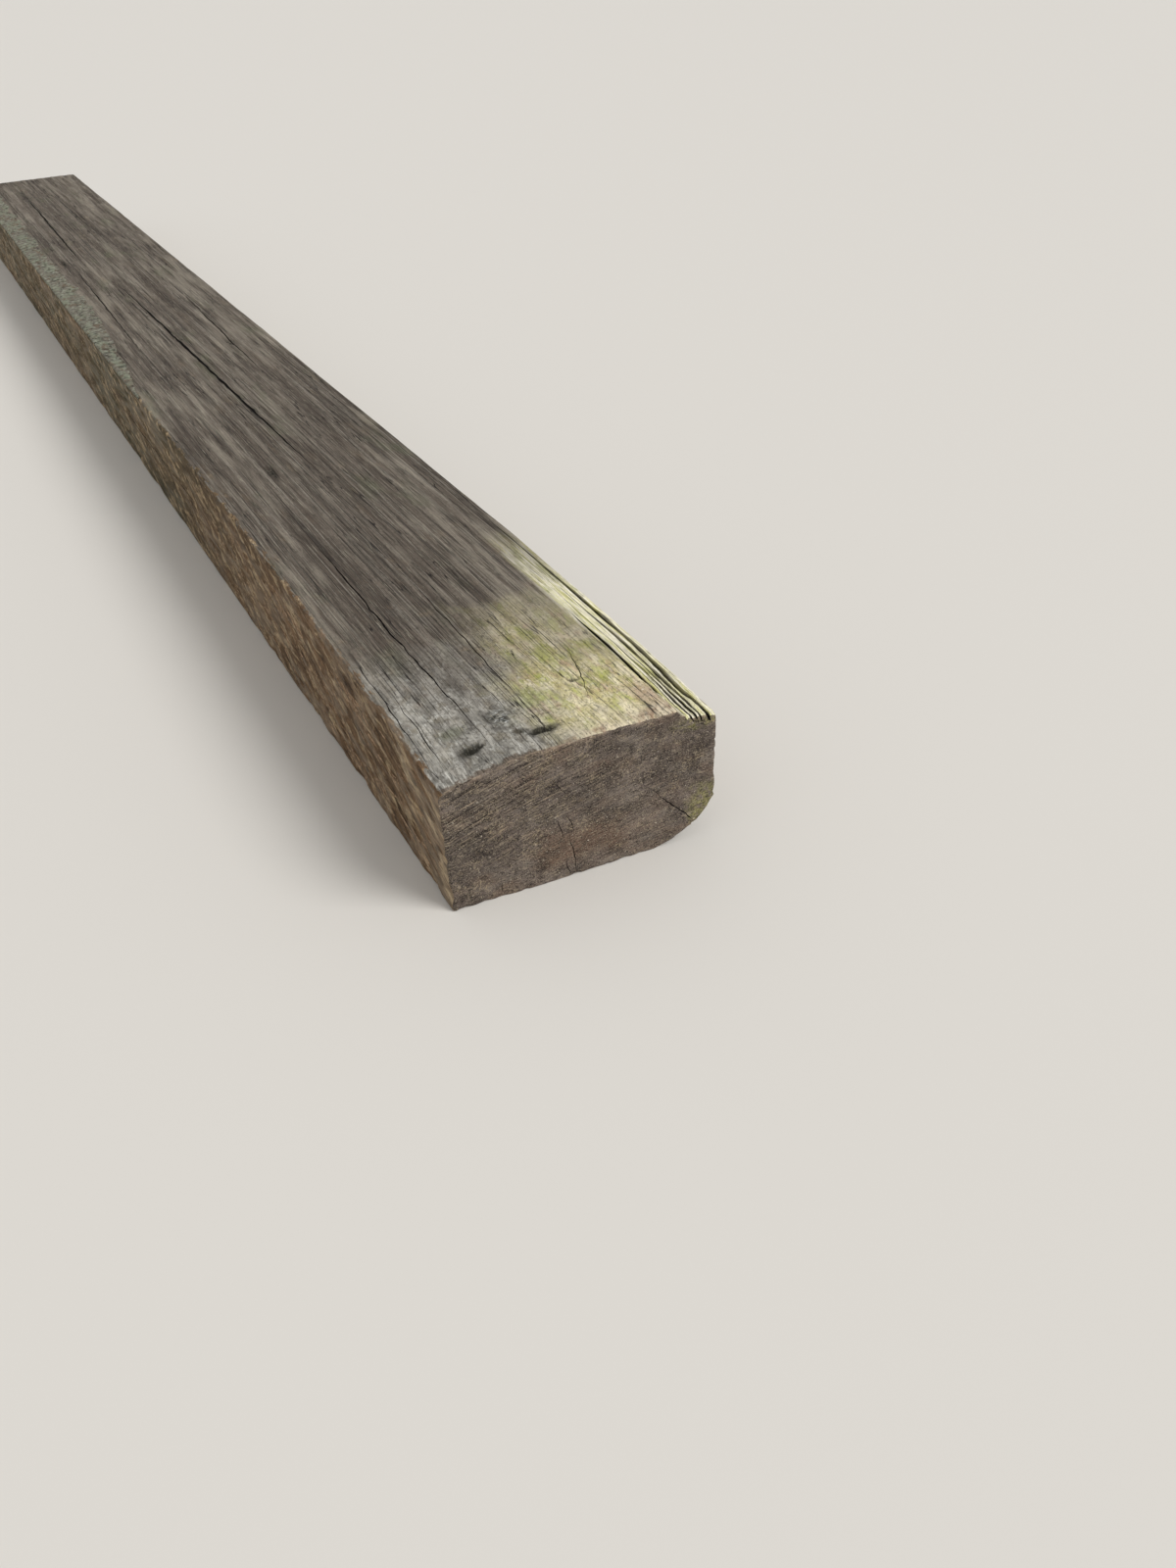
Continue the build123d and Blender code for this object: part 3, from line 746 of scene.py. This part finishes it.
# the sides and the bed: straight sawn grain, but on the left the fibres slope and are torn
wires = {"Vector": place, "Rotation": (0, math.radians(SIDE_LEAN), 0)}
tilted = add(tree, "Mapping", wires, vector_type="TEXTURE").outputs[0]
on_left_side = add(tree, "MapRange", {0: spot[1], 1: -0.135, 2: -0.139}).outputs[0]
along = add(tree, "Mix", {0: on_left_side, 4: place, 5: tilted}, data_type="VECTOR").outputs[1]
pale_fibres = patches(tree, along, (15, 2.8, 1.9), 0.55, 0.68, detail=4.0)
dark_fibres = patches(tree, along, (19, 3.2, 2.1), 0.46, 0.34, detail=5.0)
tufts = patches(tree, along, (42, 20, 13), 0.53, 0.62, detail=4.0)
scars = patches(tree, along, (10, 3.2, 2.2), 0.36, 0.56, most=tufts, detail=4.0)
from_end = add(tree, "Math", {0: deep, 1: 0.9, 2: spot[0]}, operation="MULTIPLY_ADD").outputs[0]
further = add(tree, "MapRange", {0: from_end, 1: 1.70, 2: 0.90}).outputs[0]
side = coats(tree, paint("#624D38"), (
    ("#886C50", patches(tree, along, (75, 22, 17), 0.34, 0.66, detail=5.0), 1.0),
    ("#47382D", patches(tree, along, (60, 28, 22), 0.53, 0.68, detail=5.0), 0.6),
    ("#4A4A36", patches(tree, place, (260, 60, 70), 0.26, 0.60, most=further), 0.85),
    ("#AD9371", tufts, 0.5),
    ("#CDB590", scars, 0.8),
    ("#B99D78", pale_fibres, 0.5),
    ("#3A2E22", patches(tree, place, (5, 5, 3.5), 0.54, 0.68, detail=5.0), 0.5),
    ("#2A1F17", dark_fibres, 0.7)))
side_height = heights(tree, ((pale_fibres, 0.9), (dark_fibres, -1.2), (scars, 0.5)))
# the wane: bare log skin with moss
moss = patches(tree, place, (50, 20, 20), 0.48, 0.64)
tips = patches(tree, place, (3, 3, 3), 0.50, 0.66)
wane = coats(tree, paint("#4E4236"), (
    ("#626144", moss, 1.0),
    ("#8C8A61", tips, moss),
    ("#332920", patches(tree, place, (60, 5, 5), 0.52, 0.68), 0.7)))
# where the faces meet: the torn brown of the left side laps a little over the arris
nibbled = cloud(tree, place, (22, 6, 6), 4.0)
from_arris = add(tree, "Math", {0: nibbled, 1: 0.030, 2: spot[1]}, operation="MULTIPLY_ADD").outputs[0]
past_torn = add(tree, "MapRange", {0: from_arris, 1: -0.1265, 2: -0.1245, 4: is_top}).outputs[0]
colour = add(tree, "Mix", {0: past_torn, 6: side, 7: top}, data_type="RGBA").outputs[2]
colour = add(tree, "Mix", {0: is_wane, 6: colour, 7: wane}, data_type="RGBA").outputs[2]
# painted shade in the carved grooves, in the hollows and in the strip's splits, and painted highlights on
# the raised ridges
painted_groove_shade = add(tree, "MapRange", {0: sunk, 1: 0.55, 2: 1.0, 4: 0.45}).outputs[0]
painted_ridge_highlight = add(tree, "MapRange", {0: sunk, 1: 0.30, 2: 0.0, 4: 0.22}).outputs[0]
# painted shade in the splits between the strip's slivers
painted_split_shade = add(tree, "MapRange", {0: pitted, 1: 0.03, 2: 0.40, 4: is_strip}).outputs[0]
colour = coats(tree, colour, (
    ("#2A241E", painted_groove_shade, 1.0),
    ("#C9BFAC", painted_ridge_highlight, 1.0),
    ("#201E16", patches(tree, place, (5, 3, 4), 0.33, 0.52, most=pitted), 0.88),
    ("#17160F", painted_split_shade, 0.95)))
level = add(tree, "Mix", {0: is_top, 2: side_height, 3: top_height}).outputs[0]
surface(tree, colour, 0.9, level, shine=0.25)

# Inside the checks the same oak is split, not sawn, and soaked with tar; it is painted nearly black,
# which is painted shade in the narrow checks over the dark tarry wood.
check_walls, tree, place = material("tarry split oak with painted shade")
dust = patches(tree, place, (20, 6, 6), 0.45, 0.65)
surface(tree, coats(tree, paint("#17110E"), (("#33281F", dust, 0.8),)), 0.95)

for finish in (end_grain, long_grain):
    timber_mesh.materials.append(finish)
wedge_mesh.materials.append(check_walls)
cut = bpy.data.meshes.new_from_object(timber.evaluated_get(bpy.context.evaluated_depsgraph_get()))
timber.modifiers.clear()
timber.data = cut
bpy.data.objects.remove(wedges)
cut.name = "weathered_timber"
# The cut left no shares on the lips of the checks. Those higher than this, in metres, are in the
# top and take its finish.
TOP_LIPS = 0.136


def gathered(rows, name, kind, per_row=1):
    """One property of all of a mesh's points, faces or corners, as an array."""
    values = np.empty(len(rows) * per_row, kind)
    rows.foreach_get(name, values)
    return values


finish_of_face = gathered(cut.polygons, "material_index", np.int32)
corner_faces = np.repeat(finish_of_face, gathered(cut.polygons, "loop_total", np.int32))
in_check = corner_faces == cut.materials.find(check_walls.name)
lips = np.unique(gathered(cut.loops, "vertex_index", np.int32)[in_check])
lip_heights = gathered(cut.vertices, "co", np.float32, 3)[2::3][lips]
for name, values in (("top_share", lip_heights > TOP_LIPS), ("sunk", EVEN_SUNK)):
    kept = gathered(cut.attributes[name].data, "value", np.float32)
    kept[lips] = values
    cut.attributes[name].data.foreach_set("value", kept)
cut.polygons.foreach_set("use_smooth", np.ones(len(cut.polygons), bool))
cut.set_sharp_from_angle(angle=math.radians(50))

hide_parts("sleeper")
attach(timber, "root")


def piece(name, points, quads, finish):
    """A piece of relief that rides with the timber: points in millimetres, faces and its finish."""
    made, mesh = build(name, points, quads)
    mesh.materials.append(finish)
    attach(made, "root")
    return mesh


# The crust on the decayed margin. Rotted oak that rain has broken across into crumbs about as
# long as a thumb's width, held together by moss and algae; it lies in the dip along the arris.
CRUST_START, CRUST_END = 1262.0, 3405.0
CRUMB = 25.0
lines = np.linspace(CRUST_START, CRUST_END, 640)[:, None]
lanes = np.linspace(0, 1, 13)[None]
margin = np.interp(lines, MARGIN_BEHIND, MARGIN_WIDE) * (1 + 0.14 * noise(lines / 45, lines * 0, 60))
across = 0.8 + np.maximum(margin, 4) * lanes
cell = lines / CRUMB + 0.5 * noise(lines / 80, across / 40, 61) + 0.06 * noise(lines / 9, across / 6, 65)
part = cell - np.floor(cell)
scale = ramp(part, 0, 0.7) ** 0.8 * ramp(part, 1, 0.86)
loss = np.clip(noise(np.floor(cell) * 5.3, across / 12, 62) - 0.6, 0, 1) * 5
uneven = 1 + 0.4 * noise(np.floor(cell) * 3.1, across / 26, 67)
frayed_out = ramp(lanes, 0.5, 1) * (1.6 + 2.4 * noise(lines / 7, across / 8, 68))
tall = (1.3 + 2.6 * scale * uneven) * ramp(lanes, 1, 0.85) ** 0.5
tall = tall - loss - np.maximum(frayed_out, 0)
tall = tall + 0.6 * noise(lines / 6.5, across / 6, 63) + 0.35 * noise(lines / 3.6, across / 3.2, 64)
ground = TALL - top_form(lines, across) - top_relief(lines, across)
shell = np.minimum(ground - 1.2 + tall, TALL - 0.3) - rounded(across, 3.0)
steps, quads, _ = closed_grid(len(lines) - 1, lanes.size - 1, 1)
x = LONG / 2 - lines + 0 * across
low = np.stack([x, across - WIDE / 2 + 1.5, ground - 7], -1)
overhang = 0.7 * np.clip(noise(lines / 6, shell / 5, 66), 0, 1)
high = np.stack([x, across - WIDE / 2 + overhang, shell], -1)
crust, tree, place = material("crumbled mossy oak")
# painted shade between the crumbs, read from the crust's points
between = add(tree, "Attribute", attribute_name="between").outputs["Fac"]
gaps = patches(tree, place, (9, 9, 6), 0.46, 0.36, detail=5.0)
colour = coats(tree, paint("#787264"), (
    ("#818470", patches(tree, place, (60, 18, 16), 0.44, 0.60), 1.0),
    ("#A6A898", patches(tree, place, (5, 8, 5), 0.50, 0.66), 0.7),
    ("#6B5744", patches(tree, place, (26, 14, 14), 0.54, 0.66), 0.7),
    ("#2A261D", gaps, 0.7),
    ("#1A1712", between, 0.8)))
grit = patches(tree, place, (2, 2, 2), 0.40, 0.60)
surface(tree, colour, 0.95, heights(tree, ((gaps, -1.6), (grit, 0.6))))
crust_points = np.where(steps[:, 2:] == 1, high[steps[:, 0], steps[:, 1]], low[steps[:, 0], steps[:, 1]])
crust_mesh = piece("mossy_crust", crust_points, quads, crust)
# painted shade: darker where the crumbs are low, between them and where they are lost
painted_shade_between_crumbs = np.clip(1.0 - 2.2 * scale + 0.6 * loss, 0, 1)
mark(crust_mesh, "between", painted_shade_between_crumbs[steps[:, 0], steps[:, 1]])

# Fibres that the saw and the rain have torn half loose from the left side. Each is a thin
# three-sided splinter, rooted in the side at one end and frayed out at the other.
dice = np.random.default_rng(71)
COUNT = 1900
root = np.stack([dice.uniform(12, LONG - 70, COUNT), dice.uniform(5, TALL - 28, COUNT)], -1)
angle = np.radians(SIDE_LEAN + dice.normal(0, 4.5, COUNT)) + np.pi * (dice.random(COUNT) < 0.5)
length = dice.uniform(9, 36, COUNT) * dice.choice((1, 1.7), COUNT, p=(0.8, 0.2))
thick = dice.uniform(0.5, 1.3, COUNT)
share = np.array((0, 0.3, 0.65, 1.0))[None]
behind = root[:, :1] + length[:, None] * share * np.cos(angle)[:, None]
above = root[:, 1:] + length[:, None] * share * np.sin(angle)[:, None]
inside = (behind.min(1) > SEEN_SKEW + 9) & (behind.max(1) < LONG - 12)
inside &= (above.min(1) > 3) & (above.max(1) < TALL - 26)
inside &= noise(root[:, 0] / 60, root[:, 1] / 22, 72) > -0.25
behind, above, angle, thick = behind[inside], above[inside], angle[inside], thick[inside]
standing = np.array((-2.2, 0.35, 0.9, 1.5))[None] * dice.uniform(0.6, 1.3, len(thick))[:, None]
outer = np.maximum(left_relief(behind, above) - standing, 0.25)
half = thick[:, None] * np.array((0.9, 1.0, 0.8, 0.25))[None]
side_b, side_z = -np.sin(angle)[:, None] * half, np.cos(angle)[:, None] * half
# four rings along each splinter, of three points each: one on its back, two where it is widest
corners = np.stack([
    np.stack([LONG / 2 - behind, outer - WIDE / 2, above], -1),
    np.stack([LONG / 2 - behind - side_b, outer + 0.9 * half - WIDE / 2, above + side_z], -1),
    np.stack([LONG / 2 - behind + side_b, outer + 0.9 * half - WIDE / 2, above - side_z], -1)], 2)
first = np.arange(len(thick))[:, None] * 12
ring_start = first[:, :, None] + np.arange(0, 9, 3)[None, :, None]
here, beside = ring_start + np.arange(3), ring_start + (np.arange(3) + 1) % 3
walls = np.stack([here, beside, beside + 3, here + 3], -1).reshape(-1, 4)
caps = np.concatenate([first + (2, 1, 0), first + (9, 10, 11)])
fibre, tree, place = material("torn oak fibres")
from_end = add(tree, "SeparateXYZ", {0: place}).outputs[0]
further = add(tree, "MapRange", {0: from_end, 1: 1.20, 2: 0.60, 4: 0.55}).outputs[0]
colour = coats(tree, paint("#7A5E42"), (
    ("#BFA182", patches(tree, place, (8, 30, 8), 0.40, 0.60), 1.0),
    ("#5C5A44", further, 1.0),
    ("#3A2B20", patches(tree, place, (5, 30, 5), 0.56, 0.70), 0.7)))
surface(tree, colour, 0.9)
piece("torn_fibres", corners.reshape(-1, 3), walls.tolist() + caps.tolist(), fibre)

# The view, the floor and the light. The camera is in the place that the photo was taken from;
# a soft sun comes over its right side and a white sky fills the shade.
camera_data = bpy.data.cameras.new("view")
camera_data.lens = 27.568
camera_data.sensor_width = 36
camera_data.clip_end = 200
camera = bpy.data.objects.new("view", camera_data)
camera.matrix_world = Matrix(
    (
        (0.48547, -0.50884, 0.71091, 2.56475),
        (0.87340, 0.31830, -0.36860, -0.42575),
        (-0.03872, 0.79985, 0.59894, 0.80764),
        (0, 0, 0, 1),
    )
)
bpy.context.scene.collection.objects.link(camera)
bpy.context.scene.camera = camera

FLOOR = 60000.0
floor_points = [(-FLOOR, -FLOOR, 0), (FLOOR, -FLOOR, 0), (FLOOR, FLOOR, 0), (-FLOOR, FLOOR, 0)]
floor, floor_mesh = build("floor", floor_points, [(0, 1, 2, 3)])
floor_paint = bpy.data.materials.new("pale floor")
floor_paint.use_nodes = True
floor_skin = floor_paint.node_tree.nodes["Principled BSDF"].inputs
floor_skin["Base Color"].default_value = (0.72, 0.69, 0.64, 1)
floor_skin["Roughness"].default_value = 0.9
floor_mesh.materials.append(floor_paint)

sun_data = bpy.data.lights.new("key", "SUN")
sun_data.energy = 2.0
sun_data.angle = math.radians(28)
sun = bpy.data.objects.new("key", sun_data)
sun.rotation_euler = Vector((0.62, 0.5, 0.78)).to_track_quat("Z", "Y").to_euler()
bpy.context.scene.collection.objects.link(sun)

world = bpy.data.worlds.new("room")
world.use_nodes = True
world.node_tree.nodes["Background"].inputs["Color"].default_value = (1, 1, 1, 1)
world.node_tree.nodes["Background"].inputs["Strength"].default_value = 0.55
bpy.context.scene.world = world
bpy.context.scene.view_settings.view_transform = "Standard"
